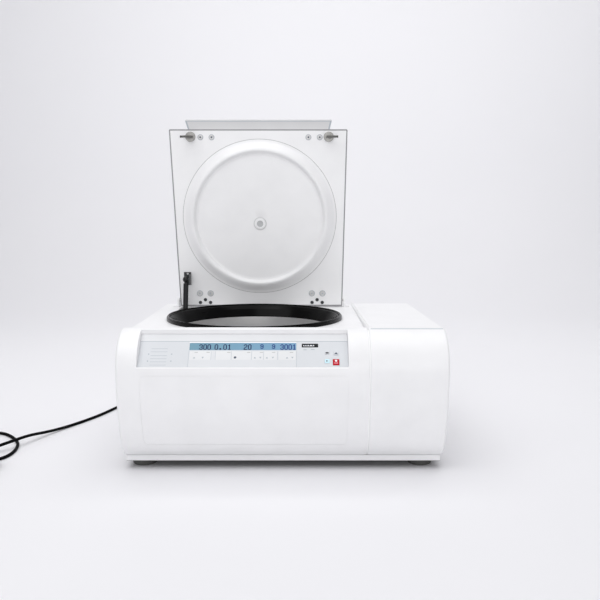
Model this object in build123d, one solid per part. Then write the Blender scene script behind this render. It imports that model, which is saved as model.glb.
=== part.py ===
"""Refrigerated benchtop centrifuge with a swing-out rotor for microplates, its lid stood open."""
from build123d import *
import os
from math import atan2, cos, degrees, hypot, pi, radians, sin, tan

os.makedirs("parts", exist_ok=True)

# ---- overall, mm. Depths run back from the foremost point of the front covers ----
HOUSING_W = 755.0
DECK_Z = 322.0
LIP_Z = 335.0
SHEET = 2.5
SKIN = 3.0
GAP = 0.3
SEAM_X = 197.4
SEAM_GAP = 0.6
HALF_W = HOUSING_W / 2
REAR_D = 658.0
BOOT_START = 2.0
BOOT_LEN = 27.0
DEPTH_ALL = REAR_D + BOOT_START + BOOT_LEN

# ---- front covers ----
TOP_EDGE = (72.0, LIP_Z)
NOSE = (0.0, 245.0)
SHIN = (38.0, 68.0)
TOE = (70.0, 31.5)
TOP_R = 14.0
MAIN_BACK = 84.0
SIDE_BACK = 84.0
SIDE_TOP_GAP = 2.0
END_R = 7.0
SEAM_R = 3.0
EMBOSS = (-323.0, 149.0, 66.0, 238.0)
EMBOSS_W = 1.8
EMBOSS_DEEP = 0.8

# ---- control panel, X and distance down its flat face ----
PANEL_TOP = (74.7, 336.3)
PANEL_LOW = (0.0, 250.2)
PANEL_ROOM = 40.0
POCKET = (-328.5, 149.2, 17.2, 108.3)
POCKET_UP = 12.0
POCKET_DEEP = 3.0
TRAY_WALL = 2.5
FOIL_T = 1.5
LCD = (-214.0, 31.0, 41.3, 60.6)
KEY_PROUD = 0.9
KEY_TRAVEL = 0.5
KEY_GAP = 0.35
KEYS = {
    "stop_key": (121.2, 92.4, 14.5, 15.5),
    "start_key": (101.2, 89.5, 11.0, 10.0),
    "lid_key": (121.5, 69.6, 10.0, 8.5),
    "pulse_key": (101.2, 68.5, 9.0, 6.5),
}

# ---- chamber ----
BOWL_X = -82.0
BOWL_D = 340.0
BOWL_R = 207.0
BOWL_T = 1.5
BOWL_RIM_Z = 299.0
GASKET_R = 234.0
GASKET_TOP = 332.0
FLANGE_R = 227.0
ARMOUR_R = 228.0
ARMOUR_T = 5.0
COIL_TUBE_R = 4.4
COIL_TURNS = 6
PIPE_D = BOWL_D + 130
PIPE_Z = 164.0

# ---- lid: X, distance up from its rear edge, height out of its inner face ----
LID_LEAN = 4.33
LID_BASE = (BOWL_D + 245.7, DECK_Z + 2.3)
LID_LEN = 520.6
LID_REAR = (-321.0, 167.0)
LID_FRONT = (-340.0, 177.0)
LID_DEEP = 27.0
LID_SKIN = 3.0
LINER_T = 2.0
LID_CORNER = 3.5
LID_RIM_R = 3.0
TRIM_W = 3.6
RING_X = -79.5
RING_S = 267.0
RING_R = 225.0
CREST_R = 195.0
CREST_H = 22.0
DISC_R = 184.0
DISC_H = 12.0
GRIP_LEN = 28.0
AXIS_S = 16.64
AXIS_H = -8.0
AXIS_R = 4.0
RUN = 0.05
VIEW_S = 249.0
VIEW_X = -78.0
VIEW_R = 9.5
HOOKS = ((99.5 - HALF_W, -1), (SEAM_X - 74.9, 1))
HOOK_S = 499.5
HOOK_H = 30.0
HINGE_X = (-246.0, 91.0)

# ---- gas strut ----
STRUT_X = -299.0
STRUT_TOP = (85.0, 24.0)
STRUT_FOOT = (BOWL_D + 140, 100.0)
CYL_R = 7.5
BALL_R = 6.0
CYL_LEN = 182.0
ROD_R = 3.5
ROD_START = 148.0

# ---- rotor ----
ROTOR_Z = 205.0
SWING_X = 105.0
PIN_R = 6.0
PLATE_L = 128.6
PLATE_W = 86.4
CARRIER_T = 2.8
CARRIER_DROP = 50.0
SHAFT_R = 10.0

# ---- cooling side ----
WALL_X = SEAM_X - 3.8
COMP_R = 62.0
COMP_X = (WALL_X + HALF_W - SHEET) / 2
COMP_D = REAR_D - 98
COND_X = HALF_W - 49
COND_W = 38.0
FAN_D = 300.0
FAN_Z = 175.0
FAN_R = 96.0
FAN_HALF = 104.0

# ---- mains cord ----
CORD_R = 4.0
EXIT_X = -320.0
EXIT_Z = 70.0
CORD_WAY = [
    (EXIT_X, REAR_D - 4, EXIT_Z), (EXIT_X, REAR_D + 66, EXIT_Z - 3),
    (-362.0, REAR_D + 118, 40.0), (-440.0, REAR_D + 114, 10.0),
    (-500.0, 705.0, CORD_R), (-529.0, 611.0, CORD_R), (-560.0, 510.0, CORD_R), (-612.0, 405.0, CORD_R),
    (-650.0, 330.0, 9.0), (-674.0, 262.0, 21.0), (-704.0, 198.0, 21.0), (-756.0, 150.0, 11.0),
    (-806.0, 126.0, 5.0), (-850.0, 150.0, CORD_R), (-868.0, 205.0, CORD_R), (-858.0, 270.0, CORD_R),
    (-826.0, 330.0, CORD_R), (-775.0, 345.0, CORD_R), (-705.0, 268.0, CORD_R), (-680.0, 190.0, CORD_R),
    (-686.0, 122.0, CORD_R), (-742.0, 88.0, CORD_R),
]

# ---- feet and base ----
FOOT_R = 33.0
FOOT_H = 17.5
FEET = tuple((x, d) for d in (112.0, REAR_D - 54) for x in (40.5 - HALF_W, HALF_W - 48))
BASE_TOP = 31.0
BASE_FRONT = 69.0
BASE_IN = 5.5
BASE_WALL_D = 96.0
BASE_WALL_TOP = 44.0


def dy(depth):
    return depth - DEPTH_ALL / 2


def save(shape, name):
    export_step(shape, f"parts/{name}.step")
    size = shape.bounding_box().size
    print(f"{name:22s} {len(shape.solids()):3d} {size.X:7.1f} {size.Y:7.1f} {size.Z:7.1f}")


def slab(x0, x1, d0, d1, z0, z1):
    middle = Pos((x0 + x1) / 2, dy((d0 + d1) / 2), (z0 + z1) / 2)
    return middle * Box(abs(x1 - x0), abs(d1 - d0), abs(z1 - z0))


def post(x, d, z0, z1, r):
    return Pos(x, dy(d), (z0 + z1) / 2) * Cylinder(r, z1 - z0)


def rod_x(x0, x1, d, z, r):
    return Pos((x0 + x1) / 2, dy(d), z) * Rot(0, 90, 0) * Cylinder(r, x1 - x0)


def rod_y(x, d0, d1, z, r):
    return Pos(x, dy((d0 + d1) / 2), z) * Rot(90, 0, 0) * Cylinder(r, d1 - d0)


def turned(points, x=BOWL_X, d=BOWL_D):
    face = make_face(Plane.XZ * Polyline(*points, close=True))
    return Pos(x, dy(d), 0) * revolve(face, Axis.Z, 360)


def plate(x0, x1, y0, y1, z0, z1):
    return Pos((x0 + x1) / 2, (y0 + y1) / 2, (z0 + z1) / 2) * Box(x1 - x0, y1 - y0, z1 - z0)


# ------------------------------------------------------------------ front covers
def cover_face(back):
    a = (dy(TOP_EDGE[0]), TOP_EDGE[1])
    nose = (dy(NOSE[0]), NOSE[1])
    shin = (dy(SHIN[0]), SHIN[1])
    toe = (dy(TOE[0]), TOE[1])
    brow = TangentArc(nose, a, tangent=(0, 1))
    front = TangentArc(nose, shin, tangent=(0, -1))
    under = TangentArc(shin, toe, tangent=front % 1)
    rest = Polyline(toe, (dy(back), TOE[1]), (dy(back), LIP_Z), a)
    face = make_face([brow, front, under, rest])
    top_v = face.vertices().sort_by_distance((a[0], a[1], 0))[0]
    return fillet(top_v, TOP_R)


def end_fillet(body, x, back, r):
    face = body.faces().filter_by(Axis.X).sort_by_distance((x, 0, 150))[0]
    keep = []
    for e in face.edges():
        c = e.center()
        on_back = abs(c.Y - dy(back)) < 0.01
        on_floor = c.Z < TOE[1] + SKIN + 0.5 and e.geom_type == GeomType.LINE
        if not on_back and not on_floor:
            keep.append(e)
    return fillet(keep, r)


def cover_block(x0, x1, back, inset, r0, r1):
    face = cover_face(back + (20 if inset else 0))
    if inset:
        face = offset(face, -inset, kind=Kind.INTERSECTION)
    body = extrude(Plane.YZ * face, x1 - x0 - 2 * inset)
    body = Pos(x0 + inset, 0, 0) * body
    far = back + 20 - inset if inset else back
    if r0:
        body = end_fillet(body, x0 + inset, far, r0)
    if r1:
        body = end_fillet(body, x1 - inset, far, r1)
    return body


def cover_room(x0, x1, back, r0, r1):
    return cover_block(x0, x1, back, SKIN, max(r0 - SKIN, 0.8), max(r1 - SKIN, 0.8))


PANEL_LEN = hypot(PANEL_TOP[0] - PANEL_LOW[0], PANEL_TOP[1] - PANEL_LOW[1])
PANEL_UP = ((PANEL_TOP[0] - PANEL_LOW[0]) / PANEL_LEN, (PANEL_TOP[1] - PANEL_LOW[1]) / PANEL_LEN)
PANEL = Plane(
    origin=(0, dy(PANEL_TOP[0]), PANEL_TOP[1]),
    x_dir=(1, 0, 0),
    z_dir=(0, -PANEL_UP[1], PANEL_UP[0]),
).location


def on_panel(x0, x1, t0, t1, top, bottom):
    """Box on the sloped panel; top and bottom are depths under its face."""
    return PANEL * plate(x0, x1, -t1, -t0, -bottom, -top)


def key_box(name, grow, top, bottom):
    x, t, w, h = KEYS[name]
    return on_panel(x - w / 2 - grow, x + w / 2 + grow, t - h / 2 - grow, t + h / 2 + grow, top, bottom)


def make_front_covers():
    seam = SEAM_X - SEAM_GAP / 2
    whole = cover_block(-HALF_W, seam, MAIN_BACK, 0, END_R, SEAM_R)
    main = whole - cover_room(-HALF_W, seam, MAIN_BACK, END_R, SEAM_R)
    x0, x1, t0, t1 = POCKET
    w = TRAY_WALL
    floor_d = POCKET_DEEP + w
    main += whole & on_panel(x0 - w, x1 + w, t0 - POCKET_UP, t1 + w, -PANEL_ROOM, floor_d)
    sunk = Polyline((-t0, 0), (-t1, 0), (-t1, PANEL_ROOM), (PANEL_ROOM - t0, PANEL_ROOM), close=True)
    main -= PANEL * Pos(x0, 0, 0) * extrude(Plane.YZ * make_face(sunk), x1 - x0)
    main -= on_panel(x0, x1, t0, t1, -1, POCKET_DEEP)
    main -= on_panel(LCD[0] + 3, LCD[1] - 3, LCD[2] + 2, LCD[3] - 2, 0, floor_d + 1)
    for name in KEYS:
        main -= key_box(name, KEY_GAP, 0, floor_d + 1)
    outer = cover_block(-HALF_W, SEAM_X, MAIN_BACK, 0, 0, 0)
    inner = cover_block(-HALF_W - 40, SEAM_X + 40, MAIN_BACK, EMBOSS_DEEP, 0, 0)
    ex0, ex1, ez0, ez1 = EMBOSS
    w, h = ex1 - ex0, ez1 - ez0
    frame = RectangleRounded(w, h, 12) - RectangleRounded(w - 2 * EMBOSS_W, h - 2 * EMBOSS_W, 10)
    place = Plane(origin=((ex0 + ex1) / 2, dy(-5), (ez0 + ez1) / 2), x_dir=(1, 0, 0), z_dir=(0, -1, 0))
    line = extrude(place * frame, -70)
    main -= (outer & line) - inner
    save(main, "main_front_cover")
    seam = SEAM_X + SEAM_GAP / 2
    side = cover_block(seam, HALF_W, SIDE_BACK, 0, SEAM_R + 2, END_R)
    save(side - cover_room(seam, HALF_W, SIDE_BACK, SEAM_R + 2, END_R), "side_front_cover")


def make_panel():
    x0, x1, t0, t1 = POCKET
    foil = on_panel(x0 + GAP, x1 - GAP, t0 + GAP, t1 - GAP, POCKET_DEEP - FOIL_T, POCKET_DEEP)
    foil -= on_panel(LCD[0], LCD[1], LCD[2], LCD[3], 0, POCKET_DEEP + 1)
    for name in KEYS:
        foil -= key_box(name, KEY_GAP, 0, POCKET_DEEP + 1)
    save(foil, "membrane_panel")
    g = 0.2
    x0, x1, t0, t1 = LCD
    glass = on_panel(x0 + g, x1 - g, t0 + g, t1 - g, POCKET_DEEP - FOIL_T + g, POCKET_DEEP)
    save(glass, "lcd_window")
    floor_d = POCKET_DEEP + TRAY_WALL
    for name in KEYS:
        cap = key_box(name, 0, POCKET_DEEP - FOIL_T - KEY_PROUD, floor_d + 0.4)
        top = cap.faces().sort_by_distance((PANEL * Pos(KEYS[name][0], -KEYS[name][1], 0)).position)[0]
        cap = fillet(top.edges(), 0.5)
        cap += key_box(name, 1.2, floor_d + 0.3, floor_d + 1.3)
        save(cap, name)
    board_top = floor_d + 4.0
    board = on_panel(-300, 138, 22, 104, board_top, board_top + 1.6)
    for x in (-290, -90, 60, 131):
        for t in (28, 78 if x > 100 else 98):
            board += PANEL * Pos(x, -t, -(board_top + floor_d) / 2) * Cylinder(3.5, board_top - floor_d)
    for x, t, w, h in ((-240, 60, 30, 30), (-150, 75, 18, 18), (-20, 80, 24, 16), (80, 60, 14, 24)):
        board += on_panel(x - w / 2, x + w / 2, t - h / 2, t + h / 2, board_top + 1.6, board_top + 5)
    board += on_panel(LCD[0] + 4, LCD[1] - 4, LCD[2] + 3, LCD[3] - 3, POCKET_DEEP, board_top)
    save(board, "control_board")


# ------------------------------------------------------------------ housing
def make_deck():
    x0, x1 = -HALF_W, SEAM_X - SEAM_GAP / 2
    d0, d1 = MAIN_BACK + GAP, REAR_D - SHEET - GAP
    skirt_z = DECK_Z - 24
    deck = slab(x0, x1, d0, d1, skirt_z, DECK_Z)
    long_edges = deck.edges().filter_by(Axis.Y).sort_by(Axis.Z)[-2:]
    deck = fillet(long_edges.sort_by(Axis.X)[0], 7)
    room = slab(x0 + SKIN, x1 - SKIN, d0 + SKIN, d1 - SKIN, skirt_z - 1, DECK_Z - 4)
    long_edges = room.edges().filter_by(Axis.Y).sort_by(Axis.Z)[-2:]
    deck -= fillet(long_edges.sort_by(Axis.X)[0], 4)
    deck -= post(BOWL_X, BOWL_D, skirt_z - 1, DECK_Z + 1, FLANGE_R - 4)
    for x, side in HOOKS:
        mid = x + side * 7
        deck -= slab(mid - 26, mid + 26, HOOK_CLOSED_D - 8, HOOK_CLOSED_D + 8, DECK_Z - 5, DECK_Z + 1)
    slot_d0, slot_d1 = STRUT_FOOT[0] + 17, LID_BASE[0] - 5.7
    deck -= slab(STRUT_X - 17, STRUT_X + 21, slot_d0, slot_d1, DECK_Z - 5, DECK_Z + 1)
    save(deck, "main_top_deck")


def make_side_top():
    x0, x1 = SEAM_X + SEAM_GAP / 2, HALF_W
    d0, d1 = SIDE_BACK + SIDE_TOP_GAP, REAR_D - SHEET - GAP
    low, back_z, front_z = DECK_Z - 23, DECK_Z + 1.6, LIP_Z - 0.7
    corners = ((dy(d0), low), (dy(d1), low), (dy(d1), back_z), (dy(d0), front_z))
    face = make_face(Polyline(*corners, close=True))
    body = Pos(x0, 0, 0) * extrude(Plane.YZ * face, x1 - x0)
    inner = make_face(
        Polyline(
            (dy(d0 + SKIN), low - 1), (dy(d1 - SKIN), low - 1),
            (dy(d1 - SKIN), back_z - SKIN), (dy(d0 + SKIN), front_z - SKIN), close=True,
        )
    )
    for x, r in ((x0, 5), (x1, 7)):
        long_edges = [e for e in body.edges() if e.length > 100 and e.center().Z > back_z]
        body = fillet([e for e in long_edges if abs(e.center().X - x) < 0.01], r)
    body -= Pos(x0 + SKIN, 0, 0) * extrude(Plane.YZ * inner, x1 - x0 - 2 * SKIN)
    bead = make_face(
        Polyline(
            (dy(d0 + 1), front_z - 1.3), (dy(d1 - 1), back_z - 1.2),
            (dy(d1 - 1), back_z + 1.6), (dy(d0 + 1), front_z + 1.6), close=True,
        )
    )
    ridge = Pos(x0 + 4, 0, 0) * extrude(Plane.YZ * bead, 8)
    tops = [e for e in ridge.edges() if e.length > 100 and e.center().Z > (front_z + back_z) / 2]
    ridge = fillet(tops, 1.4)
    save(body + ridge, "side_top_cover")


def slots(x, d0, d1, z0, z1, rows, tall):
    """Rows of slots through a sheet that stands in the YZ plane."""
    cuts = []
    for i in range(rows):
        z = z0 + (z1 - z0) * i / (rows - 1)
        cuts.append(slab(x - 6, x + 6, d0, d1, z - tall / 2, z + tall / 2))
    return cuts


def make_side_panels():
    z0, z1 = TOE[1], DECK_Z - 24.3
    d1 = REAR_D - SHEET - GAP
    left = slab(-HALF_W, -HALF_W + SHEET, MAIN_BACK + GAP, d1, z0, z1)
    left += slab(-HALF_W, -HALF_W + 14, MAIN_BACK + GAP, d1, z1 - SHEET, z1)
    left += slab(-HALF_W, -HALF_W + 14, d1 - SHEET, d1, z0, z1)
    left += slab(-HALF_W, -HALF_W + 14, MAIN_BACK + GAP, MAIN_BACK + GAP + SHEET, z0 + 20, z1)
    save(left, "left_side_panel")
    z1 = DECK_Z - 23.3
    d0 = SIDE_BACK + 0.5
    right = slab(HALF_W - SHEET, HALF_W, d0, d1, z0, z1)
    right += slab(HALF_W - 14, HALF_W, d0, d1, z1 - SHEET, z1)
    right += slab(HALF_W - 14, HALF_W, d1 - SHEET, d1, z0, z1)
    right += slab(HALF_W - 14, HALF_W, d0, d0 + SHEET, z0 + 20, z1)
    for cut in slots(HALF_W, FAN_D - 100, FAN_D - 4, FAN_Z - 80, FAN_Z + 80, 11, 6):
        right -= cut
    for cut in slots(HALF_W, FAN_D + 4, FAN_D + 100, FAN_Z - 80, FAN_Z + 80, 11, 6):
        right -= cut
    save(right, "right_side_panel")


def make_rear_panel():
    d0, d1 = REAR_D - SHEET, REAR_D
    rear = slab(-HALF_W, HALF_W, d0, d1, TOE[1], DECK_Z - 6)
    upright = rear.edges().filter_by(Axis.Y).sort_by(Axis.Z)[-2:]
    rear = fillet(upright, 6)
    rear -= rod_y(EXIT_X, d0 - 1, d1 + 1, EXIT_Z, 9.0)
    rear -= slab(SWITCH_X - 11, SWITCH_X + 11, d0 - 1, d1 + 1, SWITCH_Z - 14, SWITCH_Z + 14)
    for bank in (COMP_X - 45, COMP_X + 35):
        for i in range(12):
            z = 90 + i * 14
            rear -= slab(bank - 30, bank + 30, d0 - 1, d1 + 1, z - 3, z + 3)
    for i in range(6):
        rear -= slab(-150 + i * 26, -136 + i * 26, d0 - 1, d1 + 1, 60, 110)
    save(rear, "rear_panel")


def make_base():
    d0, d1, half, t = BASE_FRONT, REAR_D - 1, HALF_W - BASE_IN, SHEET
    base = slab(-half, half, d0, d1, FOOT_H, BASE_TOP)
    base -= slab(t - half, half - t, d0 + t, d1 - t, FOOT_H + t, BASE_TOP + 1)
    wall_0, wall_1 = BASE_WALL_D, d1 - BASE_IN
    wall = slab(-half, half, wall_0, wall_1, FOOT_H + 1, BASE_WALL_TOP)
    wall -= slab(t - half, half - t, wall_0 + t, wall_1 - t, FOOT_H, BASE_WALL_TOP + 1)
    base += wall
    for i in range(7):
        x = HALF_W - 153 + i * 18
        base -= slab(x, x + 10, FAN_D - 100, FAN_D + 100, FOOT_H - 1, FOOT_H + 3)
    save(base, "base_plate")
    feet = None
    for x, d in FEET:
        one = Pos(x, dy(d), FOOT_H / 2) * Cone(FOOT_R - 5, FOOT_R, FOOT_H)
        one = fillet(one.edges().sort_by(Axis.Z)[0], 3)
        one -= post(x, d, -1, 5, 9)
        feet = one if feet is None else feet + one
    save(feet, "rubber_feet")
    d0, d1 = BASE_WALL_D + 3, REAR_D - 9.5
    wall = slab(WALL_X - 2, WALL_X, d0, d1, FOOT_H + 2.5, DECK_Z - 4)
    wall += slab(WALL_X - 13.2, WALL_X, d0, d1, FOOT_H + 2.5, FOOT_H + 4.5)
    wall -= rod_x(WALL_X - 6, WALL_X + 8, PIPE_D, PIPE_Z, 14)
    save(wall, "partition_wall")


def make_chamber():
    z_top, low = DECK_Z, 116.0
    r, t = BOWL_R, BOWL_T
    bowl = turned([
        (38, low + 4), (150, low + 0.5), (176, low + 1), (201.5, low + 13), (r + t, low + 34),
        (r + t, BOWL_RIM_Z - 0.6), (FLANGE_R - 5, z_top), (FLANGE_R, z_top), (FLANGE_R, z_top + t),
        (FLANGE_R - 6, z_top + t), (r, BOWL_RIM_Z), (r, low + 34.5), (200, low + 14.5), (175, low + 2.6),
        (150, low + 2), (38, low + 5.5),
    ])
    save(bowl, "bowl")
    g = z_top + t
    gr = GASKET_R
    gasket = turned([
        (gr, z_top + 0.2), (gr, g + 5.5), (gr - 1.4, g + 7.5), (gr - 4.2, GASKET_TOP),
        (gr - 6.8, g + 7.4), (gr - 8, g + 4.4), (gr - 9.6, g + 5.4), (gr - 11.6, g + 4.6),
        (gr - 13.6, g + 2),
        (BOWL_R + 9, z_top - 3), (BOWL_R - 1.2, BOWL_RIM_Z + 0.5), (BOWL_R - 1.2, BOWL_RIM_Z - 1.5),
        (BOWL_R - 0.4, BOWL_RIM_Z - 1.5), (BOWL_R - 0.4, BOWL_RIM_Z + 0.5), (FLANGE_R - 6.4, g),
        (FLANGE_R + 0.4, g), (FLANGE_R + 0.4, z_top + 0.2),
    ])
    save(gasket, "lid_gasket")
    armour = turned([
        (ARMOUR_R, FOOT_H + 2.5), (ARMOUR_R + ARMOUR_T, FOOT_H + 2.5),
        (ARMOUR_R + ARMOUR_T, z_top - 4), (ARMOUR_R, z_top - 4),
    ])
    armour -= rod_x(BOWL_X + 150, BOWL_X + 260, PIPE_D, PIPE_Z, 14)
    save(armour, "armour_ring")
    foam_r = BOWL_R + BOWL_T + 2 * COIL_TUBE_R + 0.5
    foam = turned([
        (78, 98), (ARMOUR_R, 98), (ARMOUR_R, 296), (foam_r, 296), (foam_r, 150),
        (foam_r - 14, 124), (190, 114), (78, 114),
    ])
    foam -= rod_x(BOWL_X + 150, BOWL_X + 260, PIPE_D, PIPE_Z, 14)
    save(foam, "chamber_insulation")
    coil = None
    ring_r = BOWL_R + BOWL_T + COIL_TUBE_R + 0.15
    for i in range(COIL_TURNS):
        one = Pos(BOWL_X, dy(BOWL_D), 164 + i * 22) * Torus(ring_r, COIL_TUBE_R)
        coil = one if coil is None else coil + one
    coil += post(BOWL_X + ring_r, BOWL_D, 160, 164 + (COIL_TURNS - 1) * 22, COIL_TUBE_R - 0.6)
    return coil


def make_drive():
    motor = post(BOWL_X, BOWL_D, 40, 46, 84)
    motor += post(BOWL_X, BOWL_D, 46, 92, 68)
    motor += post(BOWL_X, BOWL_D, 92, 112, 24)
    shoulder = motor.edges().filter_by(GeomType.CIRCLE).group_by(Axis.Z)[-2].sort_by(SortBy.RADIUS)[-1]
    motor = chamfer(shoulder, 0.5)
    for i in range(4):
        a = radians(45 + 90 * i)
        motor -= post(BOWL_X + 76 * cos(a), BOWL_D + 76 * sin(a), 39, 47, 3.2)
    motor -= post(BOWL_X, BOWL_D, 60, 113, SHAFT_R + RUN)
    save(motor, "drive_motor")
    dampers = None
    for i in range(4):
        a = radians(45 + 90 * i)
        x, d = BOWL_X + 76 * cos(a), BOWL_D + 76 * sin(a)
        one = post(x, d, FOOT_H + 2.5, 30, 9) + post(x, d, 30, 34, 6.5) + post(x, d, 34, 40, 9)
        one += post(x, d, 39, 50, 3.1)
        dampers = one if dampers is None else dampers + one
    save(dampers, "motor_dampers")
    boot = turned([
        (24.02, 100), (28, 100), (28, 112), (37.6, 118.4), (37.6, 121.9), (45, 121.7), (45, 123.8),
        (34, 124.6), (24.02, 112),
    ])
    save(boot, "shaft_boot")


def make_rotor():
    z = ROTOR_Z
    spindle = post(BOWL_X, BOWL_D, 64, 236, SHAFT_R)
    spindle += post(BOWL_X, BOWL_D, 126, 160, 17)
    spindle = chamfer(spindle.edges().filter_by(GeomType.CIRCLE).sort_by(Axis.Z)[-1], 1.5)
    save(spindle, "rotor_spindle")
    bar_in = PLATE_L / 2 + CARRIER_T + 1.8
    bar_out = bar_in + 10
    yoke = post(BOWL_X, BOWL_D, 160, 222, 32)
    yoke += slab(BOWL_X - 22, BOWL_X + 22, BOWL_D - bar_out, BOWL_D + bar_out, 166, 208)
    yoke = chamfer(yoke.edges().filter_by(GeomType.CIRCLE).sort_by(Axis.Z)[-1], 2)
    for side in (-1, 1):
        d0, d1 = sorted((BOWL_D + side * bar_in, BOWL_D + side * bar_out))
        bar = slab(BOWL_X - SWING_X - 15, BOWL_X + SWING_X + 15, d0, d1, z - 14, z + 14)
        bar = fillet(bar.edges().filter_by(Axis.Y), 11)
        for hole in (-60, 60):
            bar -= rod_y(BOWL_X + hole, d0 - 1, d1 + 1, z, 8)
        yoke += bar
        for end in (-1, 1):
            p0, p1 = sorted((BOWL_D + side * (PLATE_L / 2 + 0.2), BOWL_D + side * (bar_in + 1)))
            yoke += rod_y(BOWL_X + end * SWING_X, p0, p1, z, PIN_R)
    yoke -= post(BOWL_X, BOWL_D, 159, 223, SHAFT_R)
    yoke -= slab(BOWL_X - 13, BOWL_X + 13, BOWL_D - 62, BOWL_D - 40, 165, 209)
    yoke -= slab(BOWL_X - 13, BOWL_X + 13, BOWL_D + 40, BOWL_D + 62, 165, 209)
    save(yoke, "rotor_yoke")
    knob = post(BOWL_X, BOWL_D, 222, 240, 19)
    knob = fillet(knob.edges().sort_by(Axis.Z)[-1], 4)
    for i in range(8):
        a = radians(45 * i)
        knob -= post(BOWL_X + 20.5 * cos(a), BOWL_D + 20.5 * sin(a), 221, 241, 3.5)
    knob -= post(BOWL_X, BOWL_D, 221, 236, SHAFT_R)
    save(knob, "rotor_knob")
    for name, side in (("carrier_left", -1), ("carrier_right", 1)):
        x = BOWL_X + side * SWING_X
        half_x, half_y = PLATE_W / 2, PLATE_L / 2
        top, low = z + 9, z - CARRIER_DROP
        box = slab(x - half_x - CARRIER_T, x + half_x + CARRIER_T,
                   BOWL_D - half_y - CARRIER_T, BOWL_D + half_y + CARRIER_T, low, top)
        box = fillet(box.edges().filter_by(Axis.Z), 4)
        room = slab(x - half_x, x + half_x, BOWL_D - half_y, BOWL_D + half_y, low + 4, top + 1)
        box -= fillet(room.edges().filter_by(Axis.Z), 1.5)
        window = slab(x - half_x - 9, x + half_x + 9, BOWL_D - 44, BOWL_D + 44, low + 14, top + 1)
        box -= fillet(window.edges().filter_by(Axis.X), 6)
        for hx in (-22, 22):
            for hy in (-34, 0, 34):
                box -= post(x + hx, BOWL_D + hy, low - 1, low + 5, 8)
        box -= rod_y(x, BOWL_D - half_y - 10, BOWL_D + half_y + 10, z - 1e-9, PIN_R + RUN)
        save(box, name)


# ------------------------------------------------------------------ cooling side
def make_cooling(coil):
    base_z = FOOT_H + 2.5
    cx, cd = COMP_X, COMP_D
    comp = post(cx, cd, base_z + 10, 150, COMP_R)
    comp = fillet(comp.edges().filter_by(GeomType.CIRCLE).sort_by(Axis.Z)[-1], 30)
    comp = fillet(comp.edges().filter_by(GeomType.CIRCLE).sort_by(Axis.Z)[0], 8)
    comp += slab(cx - COMP_R - 4, cx + COMP_R + 4, cd - 55, cd + 55, base_z + 9, base_z + 13)
    for x in (cx - COMP_R + 4, cx + COMP_R - 4):
        for d in (cd - 47, cd + 47):
            comp += post(x, d, base_z, base_z + 9.5, 8)
    cold_x, cold_d = cx - 18, cd - 15
    hot_x, hot_d = cx + 20, cd + 15
    comp += post(cold_x, cold_d, 145, 190, 4)
    comp += post(hot_x, hot_d, 145, 170, 5)
    save(comp, "compressor")
    x0, x1 = COND_X, COND_X + COND_W
    d0, d1 = FAN_D - FAN_HALF, FAN_D + FAN_HALF
    top = FAN_Z + FAN_HALF + 5
    cond = slab(x0, x1, d0, d1, base_z, base_z + 8)
    cond += slab(x0, x1, d0, d0 + 3, base_z, top) + slab(x0, x1, d1 - 3, d1, base_z, top)
    for i in range(16):
        d = d0 + 15 + i * 12
        cond += slab(x0 + 2, x1 - 2, d, d + 1.2, base_z + 4, top - 4)
    for z in (60, 104, 148, 192, 236, 276):
        for x in (x0 + 10, x0 + 28):
            cond += rod_y(x, d0 - 6, d1 + 6, z, 4)
    save(cond, "condenser")
    face_x = COND_X - 28
    shroud = slab(face_x, x0, d0, d1, base_z, top)
    shroud -= slab(face_x + 2, x0 + 1, d0 + 3, d1 - 3, base_z + 3, top - 3)
    shroud -= rod_x(face_x - 6, face_x + 4, FAN_D, FAN_Z, FAN_R + 2)
    for a in (0, 60, 120):
        shroud += Pos(face_x + 2, dy(FAN_D), FAN_Z) * Rot(a, 0, 0) * Box(4, 6, 2 * FAN_R + 10)
    shroud += rod_x(face_x, face_x + 20, FAN_D, FAN_Z, 22)
    shroud -= rod_x(face_x - 6, face_x + 17, FAN_D, FAN_Z, 3 + RUN)
    save(shroud, "fan_shroud")
    fan = rod_x(face_x - 30, face_x - 4, FAN_D, FAN_Z, 24)
    fan += rod_x(face_x - 10, face_x + 16, FAN_D, FAN_Z, 3)
    fan = fillet(fan.edges().filter_by(GeomType.CIRCLE).sort_by(Axis.X)[0], 4)
    tip_r = FAN_R - 3
    for i in range(5):
        blade = Pos(face_x - 17, 0, tip_r * 0.6) * Rot(0, 0, 32) * Box(2.2, 46, tip_r * 0.8)
        blade = blade & (Pos(face_x - 17, 0, 0) * Rot(0, 90, 0) * Cylinder(tip_r, 60))
        fan += Pos(0, dy(FAN_D), FAN_Z) * Rot(72 * i, 0, 0) * blade
    save(fan, "condenser_fan")
    bend = min(14, 0.45 * abs(cold_d - PIPE_D))
    pipe_line = FilletPolyline(
        (cold_x, dy(cold_d), 186), (cold_x, dy(cold_d), 224), (cold_x, dy(PIPE_D), 224),
        (cold_x, dy(PIPE_D), PIPE_Z), (BOWL_X + 166, dy(PIPE_D), PIPE_Z),
        radius=bend,
    )
    ring = Plane(origin=pipe_line @ 0, z_dir=pipe_line % 0) * Circle(4)
    pipes = sweep(ring, path=pipe_line)
    pipes -= post(cold_x, cold_d, 180, 190, 4)
    pipes -= post(BOWL_X, BOWL_D, 100, 300, BOWL_R + BOWL_T + 2 * COIL_TUBE_R + 0.3)
    inlet = (x0 + 10, d1 + 6.5, 236)
    hot_line = FilletPolyline(
        (hot_x, dy(hot_d), 168), (hot_x, dy(hot_d), inlet[2]), (inlet[0], dy(hot_d), inlet[2]),
        (inlet[0], dy(inlet[1]), inlet[2]), radius=14,
    )
    ring = Plane(origin=hot_line @ 0, z_dir=hot_line % 0) * Circle(4)
    pipes += sweep(ring, path=hot_line) - post(hot_x, hot_d, 160, 170, 5)
    save(Compound(pipes.solids() + coil.solids()), "refrigerant_circuit")


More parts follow.
